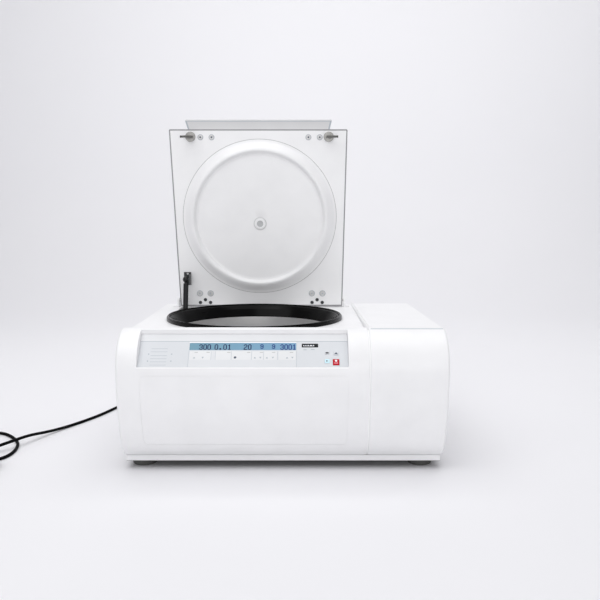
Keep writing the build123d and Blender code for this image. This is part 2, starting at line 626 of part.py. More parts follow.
# ------------------------------------------------------------------ lid
LEAN = radians(LID_LEAN)
LID = Plane(
    origin=(0, dy(LID_BASE[0]), LID_BASE[1]),
    x_dir=(1, 0, 0),
    z_dir=(0, -cos(LEAN), -sin(LEAN)),
).location
UP = (-sin(LEAN), cos(LEAN))
OUT = (-cos(LEAN), -sin(LEAN))
AXIS_D = LID_BASE[0] + AXIS_S * UP[0] + AXIS_H * OUT[0]
AXIS_Z = LID_BASE[1] + AXIS_S * UP[1] + AXIS_H * OUT[1]
HOOK_CLOSED_D = AXIS_D - (HOOK_S - AXIS_S)
LID_CLOSED_Z = AXIS_Z + AXIS_H
SWITCH_X = -240.0
SWITCH_Z = 75.0


def lid_outline(inset):
    def x_at(side, s):
        rear, front = LID_REAR[side], LID_FRONT[side]
        return rear + (front - rear) * s / LID_LEN
    corners = [
        (x_at(0, inset) + inset, inset), (x_at(1, inset) - inset, inset),
        (x_at(1, LID_LEN - inset) - inset, LID_LEN - inset),
        (x_at(0, LID_LEN - inset) + inset, LID_LEN - inset),
    ]
    face = make_face(Polyline(*corners, close=True))
    return fillet(face.vertices(), max(LID_CORNER - inset, 1))


def lid_layer(inset, h0, h1):
    return Pos(0, 0, h0) * extrude(lid_outline(inset), h1 - h0)


def lid_post(x, s, h0, h1, r):
    return Pos(x, s, (h0 + h1) / 2) * Cylinder(r, h1 - h0)


def lid_turned(points):
    face = make_face(Plane.XZ * Polyline(*points, close=True))
    return Pos(RING_X, RING_S, 0) * revolve(face, Axis.Z, 360)


def make_lid():
    shell = lid_layer(0, -LID_DEEP, -LINER_T)
    rim = shell.faces().sort_by(Axis.Z)[0]
    shell = fillet(rim.edges(), LID_RIM_R)
    shell -= lid_layer(LID_SKIN, -LID_DEEP + LID_SKIN, 0)
    shell += lid_post(VIEW_X, VIEW_S, -LID_DEEP + 1, -9, VIEW_R + 4.5)
    shell -= lid_post(VIEW_X, VIEW_S, -LID_DEEP - 1, 0, VIEW_R + 2)
    for x in LID_REAR:
        shell -= Pos(x, AXIS_S, AXIS_H) * Rot(0, 90, 0) * Cylinder(AXIS_R, 12)
    for x in (-240, -81, 80):
        for s in (110, 420):
            if hypot(x - VIEW_X, s - VIEW_S) > 40:
                shell += lid_post(x, s, -LID_DEEP + 1, -LINER_T, 6)
    save(LID * shell, "lid_shell")
    trim = lid_layer(0, -LINER_T, 0) - lid_layer(TRIM_W, -LINER_T - 1, 1)
    save(LID * trim, "lid_edge_trim")
    t = LINER_T
    liner = lid_layer(TRIM_W, -t, 0)
    liner -= Pos(RING_X, RING_S, 0) * Cylinder(RING_R - t, 20)
    liner += lid_turned([
        (RING_R, -t), (RING_R, 0.8), (RING_R - 6, 3), (CREST_R + 8, CREST_H - 3.5),
        (CREST_R + 3.5, CREST_H - 0.8), (CREST_R, CREST_H), (CREST_R - 3, CREST_H - 1),
        (DISC_R + 1, DISC_H + 1.5), (DISC_R - 5, DISC_H),
        (0, DISC_H - 3), (0, DISC_H - 3 - t), (DISC_R - 5, DISC_H - t), (DISC_R + 2, DISC_H - t),
        (CREST_R - 2.4, CREST_H - 3.4), (CREST_R, CREST_H - 2.4), (CREST_R + 2, CREST_H - 3.4),
        (RING_R - 8, 0), (RING_R - t - 1.5, -t),
    ])
    liner -= lid_post(VIEW_X, VIEW_S, 0, 30, VIEW_R + 2)
    for x, side in HOOKS:
        liner -= lid_post(x, HOOK_S, -3, 1, 5)
    save(LID * liner, "lid_liner")
    foot = DISC_H - 3 + 0.7
    ring = lid_post(VIEW_X, VIEW_S, foot, foot + 3, 16)
    ring = fillet(ring.edges().filter_by(GeomType.CIRCLE).sort_by(Axis.Z)[-1], 1.6)
    ring += lid_post(VIEW_X, VIEW_S, -LID_DEEP, foot + 1, VIEW_R + 2)
    ring -= lid_post(VIEW_X, VIEW_S, -LID_DEEP - 1, foot + 4, VIEW_R)
    save(LID * ring, "viewport_ring")
    lens = lid_post(VIEW_X, VIEW_S, foot - 1, foot + 1.6, VIEW_R)
    lens += lid_post(VIEW_X, VIEW_S, -LID_DEEP, -LID_DEEP + 3, VIEW_R)
    save(LID * lens, "viewport_lens")
    s0, s1 = LID_LEN, LID_LEN + GRIP_LEN
    corners = ((-285.8, s0 + 0.1), (125.5, s0 + 0.1), (132.4, s1), (-294.7, s1))
    grip = make_face(Polyline(*corners, close=True))
    handle = Pos(0, 0, -23) * extrude(grip, 17)
    handle = fillet([e for e in handle.edges() if abs(e.center().Y - s1) < 0.1], 4)
    finger = Pos(-81, s0 + 9, -25) * Box(380, 12, 12)
    handle -= fillet(finger.edges().filter_by(Axis.X), 4)
    save(LID * handle, "lid_handle")


def make_lid_fittings():
    hooks = None
    for x, side in HOOKS:
        disc = lid_post(x, HOOK_S, 0, 4.5, 14.5)
        disc = chamfer(disc.edges().filter_by(GeomType.CIRCLE).sort_by(Axis.Z)[-1], 1)
        disc += lid_post(x, HOOK_S, -3, 1, 4.8)
        stem = Pos(x, HOOK_S, HOOK_H / 2) * Box(13, 6, HOOK_H)
        nose_x = x + side * 16
        nose = Pos(nose_x, HOOK_S, HOOK_H - 4) * Box(21, 6, 8)
        tip = nose.edges().filter_by(Axis.Y).sort_by_distance((x + side * 40, HOOK_S, HOOK_H + 10))[0]
        nose = chamfer(tip, 5)
        one = disc + stem + nose
        hooks = one if hooks is None else hooks + one
    save(LID * hooks, "lock_hooks")
    screws = None
    for x in (-249.4, -217.0, 63.7, 96.5):
        one = lid_post(x, 498.2, 0, 2.6, 7)
        one = fillet(one.edges().filter_by(GeomType.CIRCLE).sort_by(Axis.Z)[-1], 1.2)
        one -= lid_post(x, 498.2, 1, 3, 2.6)
        screws = one if screws is None else screws + one
    save(LID * screws, "lid_screws")
    bolts = None
    darks = None
    for x in HINGE_X:
        for dx in (-16.0, 16.0):
            one = lid_post(x + dx, 38.5, 0, 3, 8)
            one = fillet(one.edges().filter_by(GeomType.CIRCLE).sort_by(Axis.Z)[-1], 1.4)
            bolts = one if bolts is None else bolts + one
        for dx, s in ((-15.2, 10.8), (0.0, 19.2), (15.4, 10.8)):
            one = lid_post(x + dx, s, 0, 1.6, 5) - lid_post(x + dx, s, 0.8, 2, 2.6)
            darks = one if darks is None else darks + one
    save(LID * bolts, "hinge_bolts")
    save(LID * darks, "hinge_cap_screws")
    arms = Pos((LID_REAR[0] + LID_REAR[1]) / 2, AXIS_S, AXIS_H) * Rot(0, 90, 0) * Cylinder(AXIS_R, 506)
    for x in HINGE_X:
        arms += plate(x - 26, x + 26, 4, 54, -5, -LINER_T)
        block = plate(x - 20, x + 20, AXIS_S - 8, AXIS_S + 8, AXIS_H - 7, -LINER_T)
        arms += fillet(block.edges().filter_by(Axis.X).sort_by(Axis.Z)[0:2], 5)
    save(LID * arms, "hinge_shaft")
    s, h = STRUT_TOP
    bracket = plate(STRUT_X - 9, STRUT_X + 12, s - 20, s + 18.5, 0, 3)
    bracket += plate(STRUT_X + 9, STRUT_X + 12, s - 16, s + 14, 0, h + 8)
    ball = make_face([
        CenterArc((0, 0), BALL_R, 0, 180), Line((-BALL_R, 0), (BALL_R, 0)),
    ])
    stud = revolve(ball, Axis.X, 360) + Pos(5.5, 0, 0) * Rot(0, 90, 0) * Cylinder(3.5, 10)
    bracket += Pos(STRUT_X, s, h) * stud
    save(LID * bracket, "strut_top_bracket")


def make_hinge_brackets():
    parts = None
    for x0, x1 in ((-330.5, -324.5), (170.5, 176.5)):
        cheek = slab(x0, x1, AXIS_D - 9, AXIS_D + 9, DECK_Z, AXIS_Z)
        cheek += rod_x(x0, x1, AXIS_D, AXIS_Z, 9)
        lo, hi = (x0 - 12, x1) if x0 < 0 else (x0, x1 + 12)
        cheek += slab(lo, hi, AXIS_D - 16, AXIS_D + 16, DECK_Z, DECK_Z + 2.5)
        cheek -= rod_x(x0 - 1, x1 + 1, AXIS_D, AXIS_Z, AXIS_R + RUN)
        parts = cheek if parts is None else parts + cheek
    save(parts, "hinge_brackets")


# ------------------------------------------------------------------ gas strut
def strut_point(s, h):
    return (LID_BASE[0] + s * UP[0] + h * OUT[0], LID_BASE[1] + s * UP[1] + h * OUT[1])


def make_strut():
    top = strut_point(*STRUT_TOP)
    foot = STRUT_FOOT
    length = hypot(top[0] - foot[0], top[1] - foot[1])
    down = ((foot[0] - top[0]) / length, (foot[1] - top[1]) / length)
    start = (STRUT_X, dy(top[0]), top[1])
    frame = Plane(origin=start, x_dir=(1, 0, 0), z_dir=(0, down[0], down[1])).location

    def along(z0, z1, r):
        return Pos(0, 0, (z0 + z1) / 2) * Cylinder(r, z1 - z0)

    tube = along(12, 12 + CYL_LEN, CYL_R)
    tube = fillet(tube.edges().filter_by(GeomType.CIRCLE), 1.5)
    tube += along(4, 14, 4)
    tube += Sphere(BALL_R + 3.5) - Pos(9.5, 0, 0) * Box(12, 30, 30)
    tube -= Sphere(BALL_R + RUN)
    tube -= Pos(8, 0, 0) * Rot(0, 90, 0) * Cylinder(4.6, 16)
    tube -= along(40, 20 + CYL_LEN, ROD_R + RUN)
    save(frame * tube, "strut_cylinder")
    rod = along(ROD_START, length - 8, ROD_R)
    rod += along(length - 12, length - 4, 5)
    rod += Pos(0, 0, length) * Rot(0, 90, 0) * Cylinder(7, 8)
    rod -= Pos(0, 0, length) * Rot(0, 90, 0) * Cylinder(4, 10)
    save(frame * rod, "strut_rod")
    d, z = foot
    wall_x = -HALF_W + SHEET
    arm_x = STRUT_X + 12
    cheek = slab(wall_x, wall_x + 3, d - 30, d + 36, z - 48, z + 30)
    cheek += slab(wall_x, arm_x, d - 22, d + 36, z - 48, z - 44)
    cheek += slab(arm_x - 3, arm_x, d - 14, d + 36, z - 48, z - 8)
    save(cheek, "strut_foot_bracket")
    print("strut length", round(length, 2))


# ------------------------------------------------------------------ locks and rear fittings
def make_locks():
    z_top = DECK_Z - 4
    nose_top = LID_CLOSED_Z - HOOK_H + 8
    bodies = None
    for (x, side), name in zip(HOOKS, ("lock_bolt_left", "lock_bolt_right")):
        tip = x + side * 30
        far = x + side * 54
        lo, hi = sorted((tip, far))
        bolt = slab(lo, hi, HOOK_CLOSED_D - 6, HOOK_CLOSED_D + 6, nose_top + 0.6, nose_top + 5)
        save(bolt, name)
        a, b = sorted((x + side * 31, x + side * 64))
        case = slab(a, b, HOOK_CLOSED_D - 12, HOOK_CLOSED_D + 14, z_top - 30, z_top)
        case -= slab(
            min(lo, a) - 1 if side > 0 else lo - 2, hi + 2 if side > 0 else max(hi, b) + 1,
            HOOK_CLOSED_D - 6 - RUN, HOOK_CLOSED_D + 6 + RUN, nose_top + 0.6 - RUN, nose_top + 5 + RUN,
        )
        bodies = case if bodies is None else bodies + case
    save(bodies, "lock_housings")


def cord_core():
    """The cord's own first run, for the bore it lies in."""
    a, b = (Vector(x, dy(d), z) for x, d, z in CORD_WAY[:2])
    run = b - a
    core = Plane(origin=a, z_dir=run).location * Pos(0, 0, run.length / 4)
    return core * Cylinder(CORD_R, run.length / 2)


def make_rear_fittings():
    d0 = REAR_D
    relief = rod_y(EXIT_X, d0 - 6, d0 - SHEET - GAP, EXIT_Z, 12)
    relief += rod_y(EXIT_X, d0 - 6, d0 + 3, EXIT_Z, 8.8)
    relief += rod_y(EXIT_X, d0, d0 + 3, EXIT_Z, 12)
    boot = Pos(EXIT_X, dy(d0 + BOOT_START + BOOT_LEN / 2), EXIT_Z) * Rot(90, 0, 0)
    relief += boot * Cone(CORD_R + 1.6, 8.5, BOOT_LEN)
    relief -= cord_core()
    save(relief, "cord_relief")
    g = 0.4
    half_x, half_z = 11 - g, 14 - g
    case = slab(SWITCH_X - half_x, SWITCH_X + half_x, d0 - 24, d0 + 1, SWITCH_Z - half_z, SWITCH_Z + half_z)
    case += slab(SWITCH_X - 13, SWITCH_X + 13, d0, d0 + 2, SWITCH_Z - 16, SWITCH_Z + 16)
    case -= slab(SWITCH_X - 8, SWITCH_X + 8, d0 - 14, d0 + 3, SWITCH_Z - 11, SWITCH_Z + 11)
    case -= rod_x(SWITCH_X - 9.5, SWITCH_X + 9.5, d0 - 5, SWITCH_Z, 1.5 + RUN)
    save(case, "switch_housing")
    rocker_face = make_face(
        Polyline(
            (dy(d0 - 9), SWITCH_Z - 8), (dy(d0 - 1), SWITCH_Z - 9.6), (dy(d0 + 4.2), SWITCH_Z - 8.6),
            (dy(d0 + 1.2), SWITCH_Z), (dy(d0 + 0.6), SWITCH_Z + 9.8), (dy(d0 - 4), SWITCH_Z + 9.8),
            (dy(d0 - 9), SWITCH_Z + 6), close=True,
        )
    )
    rocker = Pos(SWITCH_X - 7.7, 0, 0) * extrude(Plane.YZ * rocker_face, 15.4)
    rocker += rod_x(SWITCH_X - 9.3, SWITCH_X + 9.3, d0 - 5, SWITCH_Z, 1.5)
    save(rocker, "power_rocker")


# ------------------------------------------------------------------ mains cord
COIL_R = 42.0
COIL_COUNT = 3 + 1 / 6
PLUG_Z = 16.5


def tangent_radii(points):
    radii = []
    for before, here, after in zip(points, points[1:], points[2:]):
        a = Vector(*here) - Vector(*before)
        b = Vector(*after) - Vector(*here)
        turn = radians(a.get_angle(b))
        radii.append(0.45 * min(a.length, b.length) / tan(turn / 2))
    return radii


def cord_run(points):
    way = [(x, dy(d), z) for x, d, z in points]
    radii = tangent_radii(way)
    print("smallest cord radius", round(min(radii)))
    line = FilletPolyline(*way, radius=radii)
    tube = sweep(Plane(origin=line @ 0, z_dir=line % 0) * Circle(CORD_R), path=line)
    full = line.length * pi * CORD_R**2
    print("cord run", round(line.length), "volume ratio", round(tube.volume / full, 4))
    return tube, line


def make_cord():
    tube, line = cord_run(CORD_WAY)
    end = line @ 1
    way = line % 1
    save(tube, "mains_cord")
    pitch = 2 * CORD_R + 0.4
    heading = atan2(way.Y, way.X)
    spiral = Helix(pitch, pitch * COIL_COUNT, COIL_R)
    centre = (end.X - COIL_R * sin(heading), end.Y + COIL_R * cos(heading), end.Z)
    turn = degrees(heading) - 90
    spiral = Pos(*centre) * Rot(0, 0, turn) * spiral
    coil = sweep(Plane(origin=spiral @ 0, z_dir=spiral % 0) * Circle(CORD_R), path=spiral)
    top = spiral @ 1
    head = spiral % 1
    x0, y0, z0 = top.X, top.Y, top.Z
    hx, hy = head.X / hypot(head.X, head.Y), head.Y / hypot(head.X, head.Y)
    lead = [
        (x0, y0, z0), (x0 + hx * 24, y0 + hy * 24, z0 - 1.5),
        (x0 + hx * 58, y0 + hy * 58, PLUG_Z + 1), (x0 + hx * 78, y0 + hy * 78, PLUG_Z),
    ]
    lead = [(x, y + DEPTH_ALL / 2, z) for x, y, z in lead]
    tail, tail_line = cord_run(lead)
    coil += tail
    save(coil, "cord_coil")
    tie_turn = turn + 250
    tie_x = centre[0] + COIL_R * cos(radians(tie_turn))
    tie_y = centre[1] + COIL_R * sin(radians(tie_turn))
    tall = pitch * (COIL_COUNT + 1)
    band = Box(11.5, 8, tall + 3) - Box(8.6, 9, tall + 0.4)
    strap = Pos(tie_x, tie_y, CORD_R + pitch * COIL_COUNT / 2) * Rot(0, 0, tie_turn) * band
    save(split(strap, bisect_by=Plane.XY, keep=Keep.TOP), "cord_tie")
    e = tail_line @ 1
    t = tail_line % 1
    frame = Plane(origin=(e.X, e.Y, PLUG_Z), x_dir=(0, 0, 1), z_dir=(t.X, t.Y, 0)).location
    plug = Pos(0, 0, 12) * Cone(CORD_R + 1.2, 8, 24)
    body = Pos(0, 0, 33) * Box(2 * PLUG_Z, 40, 36)
    body = fillet(body.edges().filter_by(Axis.Z), 8)
    plug += body
    for px in (-9.5, 9.5):
        plug += Pos(0, px, 60) * Cylinder(2.4, 20)
    plug -= Pos(0, 0, -6) * Cylinder(CORD_R + 2, 12)
    save(frame * Pos(0, 0, 0.3) * plug, "mains_plug")


make_front_covers()
make_panel()
make_deck()
make_side_top()
make_side_panels()
make_rear_panel()
make_base()
coolant_coil = make_chamber()
make_drive()
make_rotor()
make_cooling(coolant_coil)
make_lid()
make_lid_fittings()
make_hinge_brackets()
make_strut()
make_locks()
make_rear_fittings()
make_cord()
print("hinge axis", round(dy(AXIS_D), 3), round(AXIS_Z, 3), "closed face", round(LID_CLOSED_Z, 3))
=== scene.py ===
"""Looks of the microplate centrifuge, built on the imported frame.

Blender's own units are metres. at(), lid_point(), panel_point() and brow_point() take millimetres.
"""
import math

import bmesh
import bpy
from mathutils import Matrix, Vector


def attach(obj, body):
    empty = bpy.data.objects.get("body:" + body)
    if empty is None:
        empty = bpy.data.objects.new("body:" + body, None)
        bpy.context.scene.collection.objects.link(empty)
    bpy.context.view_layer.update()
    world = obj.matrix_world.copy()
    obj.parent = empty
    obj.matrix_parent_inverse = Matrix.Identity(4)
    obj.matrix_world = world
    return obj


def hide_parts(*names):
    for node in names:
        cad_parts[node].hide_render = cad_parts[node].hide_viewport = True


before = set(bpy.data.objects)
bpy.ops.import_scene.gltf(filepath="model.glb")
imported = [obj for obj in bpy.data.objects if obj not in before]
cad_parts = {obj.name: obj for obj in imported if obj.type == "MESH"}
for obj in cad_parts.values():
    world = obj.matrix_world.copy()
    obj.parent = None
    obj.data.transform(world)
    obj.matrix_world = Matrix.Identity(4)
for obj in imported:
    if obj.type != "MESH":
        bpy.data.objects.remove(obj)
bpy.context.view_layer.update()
scene = bpy.context.scene

# From the front covers' nose to the end of the cord relief. The frame's origin is halfway.
DEPTH = 0.687


def at(x, depth, z):
    """A point from millimetres: across, back from the front covers' foremost point, up."""
    return Vector((x / 1000, depth / 1000 - DEPTH / 2, z / 1000))


# ---------------------------------------------------------------- camera
EYE = (39.4, -1625.6, 594.6)
PITCH_DOWN = 6.51
cam_data = bpy.data.cameras.new("camera")
cam_data.lens = 44.2
cam_data.sensor_width = 36.0
cam_data.clip_end = 60
camera = bpy.data.objects.new("camera", cam_data)
camera.location = at(*EYE)
camera.rotation_euler = (math.radians(90 - PITCH_DOWN), 0, 0)
scene.collection.objects.link(camera)
scene.camera = camera


# ---------------------------------------------------------------- the open lid's own axes
LEAN = math.radians(4.33)
LID_UP = Vector((0, -math.sin(LEAN), math.cos(LEAN)))
LID_OUT = Vector((0, -math.cos(LEAN), -math.sin(LEAN)))
LID_O = at(0, 585.7, 324.3)


def lid_point(x, s, h):
    """x across, s up from the lid's rear edge and h out of its inner face, in millimetres."""
    return LID_O + Vector((x / 1000, 0, 0)) + LID_UP * (s / 1000) + LID_OUT * (h / 1000)


# ---------------------------------------------------------------- materials
def new_material(name):
    """A new node material, its nodes, its links and its shader."""
    mat = bpy.data.materials.new(name)
    mat.use_nodes = True
    return mat, mat.node_tree.nodes, mat.node_tree.links, mat.node_tree.nodes["Principled BSDF"]


def surface(name, color, rough, metallic=0.0, grain=0.0, grain_scale=900.0, mottle=0.02,
            mottle_scale=14.0, spread=0.06, stretch=None, gloss=0.5):
    """A moulded, painted or metal surface: colour drift, roughness drift and a fine bump.

    stretch draws the fine grain out into brush lines, which the roughness then follows.
    """
    mat, nodes, links, bsdf = new_material(name)
    coords = nodes.new("ShaderNodeTexCoord")
    mapping = nodes.new("ShaderNodeMapping")
    links.new(coords.outputs["Object"], mapping.inputs["Vector"])
    if stretch:
        mapping.inputs["Scale"].default_value = stretch
    drift = nodes.new("ShaderNodeTexNoise")
    drift.inputs["Scale"].default_value = mottle_scale
    drift.inputs["Detail"].default_value = 4
    links.new(coords.outputs["Object"], drift.inputs["Vector"])
    ramp = nodes.new("ShaderNodeValToRGB")
    low = [max(c * (1 - mottle), 0) for c in color]
    high = [min(c * (1 + mottle), 1) for c in color]
    ramp.color_ramp.elements[0].position = 0.3
    ramp.color_ramp.elements[0].color = (*low, 1)
    ramp.color_ramp.elements[1].position = 0.7
    ramp.color_ramp.elements[1].color = (*high, 1)
    links.new(drift.outputs["Fac"], ramp.inputs["Fac"])
    links.new(ramp.outputs["Color"], bsdf.inputs["Base Color"])
    fine = nodes.new("ShaderNodeTexNoise")
    fine.inputs["Scale"].default_value = grain_scale
    fine.inputs["Detail"].default_value = 2
    links.new(mapping.outputs["Vector"], fine.inputs["Vector"])
    span = nodes.new("ShaderNodeMapRange")
    span.inputs["To Min"].default_value = max(rough - spread, 0.02)
    span.inputs["To Max"].default_value = min(rough + spread, 1)
    links.new(fine.outputs["Fac"] if stretch else drift.outputs["Fac"], span.inputs["Value"])
    links.new(span.outputs["Result"], bsdf.inputs["Roughness"])
    if grain:
        bump = nodes.new("ShaderNodeBump")
        bump.inputs["Strength"].default_value = grain
        bump.inputs["Distance"].default_value = 0.0002
        links.new(fine.outputs["Fac"], bump.inputs["Height"])
        links.new(bump.outputs["Normal"], bsdf.inputs["Normal"])
    bsdf.inputs["Metallic"].default_value = metallic
    bsdf.inputs["Specular IOR Level"].default_value = gloss
    return mat


MATERIALS = {
    "white_plastic": surface("white_plastic", (0.875, 0.875, 0.882), 0.38, grain=0.10, grain_scale=1400),
    "white_sheet": surface("white_sheet", (0.865, 0.865, 0.872), 0.42, grain=0.16, grain_scale=700),
    "liner_white": surface("liner_white", (0.875, 0.875, 0.88), 0.34, grain=0.05, grain_scale=500),
    "grey_sheet": surface("grey_sheet", (0.5, 0.51, 0.52), 0.4, metallic=0.6, grain=0.15),
    "dark_trim": surface("dark_trim", (0.29, 0.29, 0.30), 0.6, grain=0.2),
    "grey_handle": surface("grey_handle", (0.68, 0.68, 0.685), 0.5, grain=0.25, grain_scale=1100),
    "gasket": surface("gasket", (0.0012, 0.0012, 0.0012), 0.2, grain=0.2, grain_scale=900, mottle=0.15,
                      gloss=0.09),
    "foot_rubber": surface("foot_rubber", (0.085, 0.085, 0.08), 0.75, grain=0.4),
    "steel": surface("steel", (0.58, 0.575, 0.57), 0.27, metallic=1.0, grain=0.12, grain_scale=260,
                     stretch=(1, 1, 0.02), spread=0.08),
    "bowl_steel": surface("bowl_steel", (0.85, 0.845, 0.84), 0.42, metallic=1.0, grain=0.05, grain_scale=700,
                          stretch=(0.03, 0.03, 1), spread=0.05),
    "bright_steel": surface("bright_steel", (0.72, 0.72, 0.73), 0.22, metallic=1.0, grain=0.05),
    "zinc": surface("zinc", (0.34, 0.335, 0.32), 0.38, metallic=0.7, grain=0.2, grain_scale=500, mottle=0.25,
                    mottle_scale=90),
    "screw": surface("screw", (0.60, 0.60, 0.60), 0.4, metallic=0.25, grain=0.1, mottle=0.12,
                     mottle_scale=120),
    "dark_steel": surface("dark_steel", (0.045, 0.047, 0.05), 0.35, metallic=0.4, grain=0.2),
    "black_paint": surface("black_paint", (0.006, 0.006, 0.007), 0.3, grain=0.05, gloss=0.4),
    "foil": surface("foil", (0.655, 0.675, 0.70), 0.42, grain=0.12, grain_scale=1600),
    "red_key": surface("red_key", (0.50, 0.012, 0.024), 0.45, grain=0.08, gloss=0.12),
    "pale_key": surface("pale_key", (0.62, 0.86, 0.93), 0.35, grain=0.08),
    "grey_key": surface("grey_key", (0.65, 0.67, 0.695), 0.42, grain=0.08),
    "board": surface("board", (0.03, 0.2, 0.08), 0.5, grain=0.3),
    "foam": surface("foam", (0.75, 0.68, 0.47), 0.9, grain=0.8, grain_scale=300, mottle=0.1),
    "copper": surface("copper", (0.7, 0.36, 0.22), 0.35, metallic=1.0, mottle=0.12),
    "alloy": surface("alloy", (0.62, 0.63, 0.65), 0.34, metallic=1.0, grain=0.12, grain_scale=800),
    "motor": surface("motor", (0.03, 0.03, 0.034), 0.45, grain=0.3),
    "black_plastic": surface("black_plastic", (0.02, 0.02, 0.022), 0.4, grain=0.2),
    "cord": surface("cord", (0.004, 0.004, 0.0045), 0.6, grain=0.3, grain_scale=500, gloss=0.04),
    # The grey, pale and dark inks also give painted shade: the pale one at the panel's foot and in the lid
    # ring's groove, the grey one round the lid's screws and bolts and in the bolts' sockets, the dark one in
    # the screws' sockets.
    "print_and_shade_grey": surface("print_and_shade_grey", (0.42, 0.46, 0.5), 0.5),
    "print_and_shade_pale": surface("print_and_shade_pale", (0.50, 0.50, 0.50), 0.5),
    # A grey for painted shade round the lens's white ring.
    "shade_ring_grey": surface("shade_ring_grey", (0.66, 0.66, 0.66), 0.5),
    "print_and_shade_dark": surface("print_and_shade_dark", (0.06, 0.08, 0.12), 0.5),
    # A bright white, which also gives the painted highlight along the lip under the panel.
    "bright_white": surface("bright_white", (0.96, 0.96, 0.96), 0.4),
    "print_white": surface("print_white", (0.88, 0.89, 0.9), 0.45),
    "key_field": surface("key_field", (0.69, 0.705, 0.725), 0.42),
    "box_white": surface("box_white", (0.74, 0.75, 0.76), 0.42),
    "header_field": surface("header_field", (0.74, 0.75, 0.765), 0.42),
    "lcd_digit": surface("lcd_digit", (0.004, 0.012, 0.075), 0.5, gloss=0.2),
    "lcd_digit_blue": surface("lcd_digit_blue", (0.012, 0.035, 0.20), 0.5, gloss=0.2),
    "print_pink": surface("print_pink", (0.75, 0.22, 0.27), 0.5),
    "print_black": surface("print_black", (0.01, 0.012, 0.015), 0.5, gloss=0.2),
}


def glass(name, color, rough=0.05):
    """A clear window with a slight haze."""
    mat, nodes, links, bsdf = new_material(name)
    haze = nodes.new("ShaderNodeTexNoise")
    haze.inputs["Scale"].default_value = 40
    span = nodes.new("ShaderNodeMapRange")
    span.inputs["To Min"].default_value = rough
    span.inputs["To Max"].default_value = rough + 0.06
    links.new(haze.outputs["Fac"], span.inputs["Value"])
    links.new(span.outputs["Result"], bsdf.inputs["Roughness"])
    bsdf.inputs["Base Color"].default_value = (*color, 1)
    bsdf.inputs["Transmission Weight"].default_value = 0.45
    bsdf.inputs["IOR"].default_value = 1.46
    return mat


LCD_LEFT, LCD_RIGHT = -0.214, 0.031


def lcd_material():
    """The display's backlit field, which runs from teal at the left to blue at the right."""
    mat, nodes, links, bsdf = new_material("lcd")
    coords = nodes.new("ShaderNodeTexCoord")
    split = nodes.new("ShaderNodeSeparateXYZ")
    links.new(coords.outputs["Object"], split.inputs["Vector"])
    span = nodes.new("ShaderNodeMapRange")
    span.inputs["From Min"].default_value = LCD_LEFT
    span.inputs["From Max"].default_value = LCD_RIGHT
    links.new(split.outputs["X"], span.inputs["Value"])
    ramp = nodes.new("ShaderNodeValToRGB")
    ramp.color_ramp.elements[0].color = (0.145, 0.305, 0.40, 1)
    ramp.color_ramp.elements[1].color = (0.185, 0.355, 0.53, 1)
    links.new(span.outputs["Result"], ramp.inputs["Fac"])
    links.new(ramp.outputs["Color"], bsdf.inputs["Base Color"])
    bsdf.inputs["Roughness"].default_value = 0.22
    bsdf.inputs["Specular IOR Level"].default_value = 0.3
    return mat


def along(nodes, links, direction, origin):
    """The distance in metres from origin along a direction, from object coordinates."""
    coords = nodes.new("ShaderNodeTexCoord")
    dot = nodes.new("ShaderNodeVectorMath")
    dot.operation = "DOT_PRODUCT"
    dot.inputs[1].default_value = direction
    links.new(coords.outputs["Object"], dot.inputs[0])
    shift = nodes.new("ShaderNodeMath")
    shift.operation = "SUBTRACT"
    shift.inputs[1].default_value = direction.dot(origin)
    links.new(dot.outputs["Value"], shift.inputs[0])
    return shift.outputs["Value"]


def banded(name, base, direction, origin, stops):
    """A copy of a surface whose colour is multiplied by steps along a direction, in millimetres."""
    mat = base.copy()
    mat.name = name
    nodes, links = mat.node_tree.nodes, mat.node_tree.links
    bsdf = nodes["Principled BSDF"]
    span = nodes.new("ShaderNodeMapRange")
    span.inputs["From Min"].default_value = stops[0][0] / 1000
    span.inputs["From Max"].default_value = stops[-1][0] / 1000
    links.new(along(nodes, links, direction, origin), span.inputs["Value"])
    ramp = nodes.new("ShaderNodeValToRGB")
    reach = stops[-1][0] - stops[0][0]
    while len(ramp.color_ramp.elements) < len(stops):
        ramp.color_ramp.elements.new(0.5)
    for element, (place, value) in zip(ramp.color_ramp.elements, stops):
        element.position = (place - stops[0][0]) / reach
        element.color = (value, value, value, 1)
    links.new(span.outputs["Result"], ramp.inputs["Fac"])
    mix = nodes.new("ShaderNodeMix")
    mix.data_type = "RGBA"
    mix.blend_type = "MULTIPLY"
    mix.inputs["Factor"].default_value = 1
    source = bsdf.inputs["Base Color"].links[0].from_socket
    links.new(source, mix.inputs["A"])
    links.new(ramp.outputs["Color"], mix.inputs["B"])
    links.new(mix.outputs["Result"], bsdf.inputs["Base Color"])
    return mat


MATERIALS["lcd"] = lcd_material()
HANDLE_BANDS = [(520, 1.0), (535, 0.95), (549, 0.86)]
MATERIALS["handle"] = banded("handle", MATERIALS["grey_handle"], LID_UP, LID_O, HANDLE_BANDS)
# The base plate keeps its white above 18.5 mm and is darkened below, painted shade under it and along the
# foot of its skirt.
BASE_SHADE_BANDS = [(0, 0.04), (17.7, 0.04), (18.5, 1), (60, 1)]
MATERIALS["base"] = banded("base", MATERIALS["white_sheet"], Vector((0, 0, 1)), Vector(), BASE_SHADE_BANDS)
# The hooks' round feet keep the zinc colour, and their stems and noses, from about 5 mm off the lid, are
# darkened as painted shade.
HOOK_SHADE_BANDS = [(-3, 1.0), (4.6, 1.0), (6.5, 0.22), (30, 0.3)]
MATERIALS["hook"] = banded("hook", MATERIALS["zinc"], LID_OUT, LID_O, HOOK_SHADE_BANDS)
MATERIALS["clear"] = glass("clear", (0.8, 0.81, 0.82))

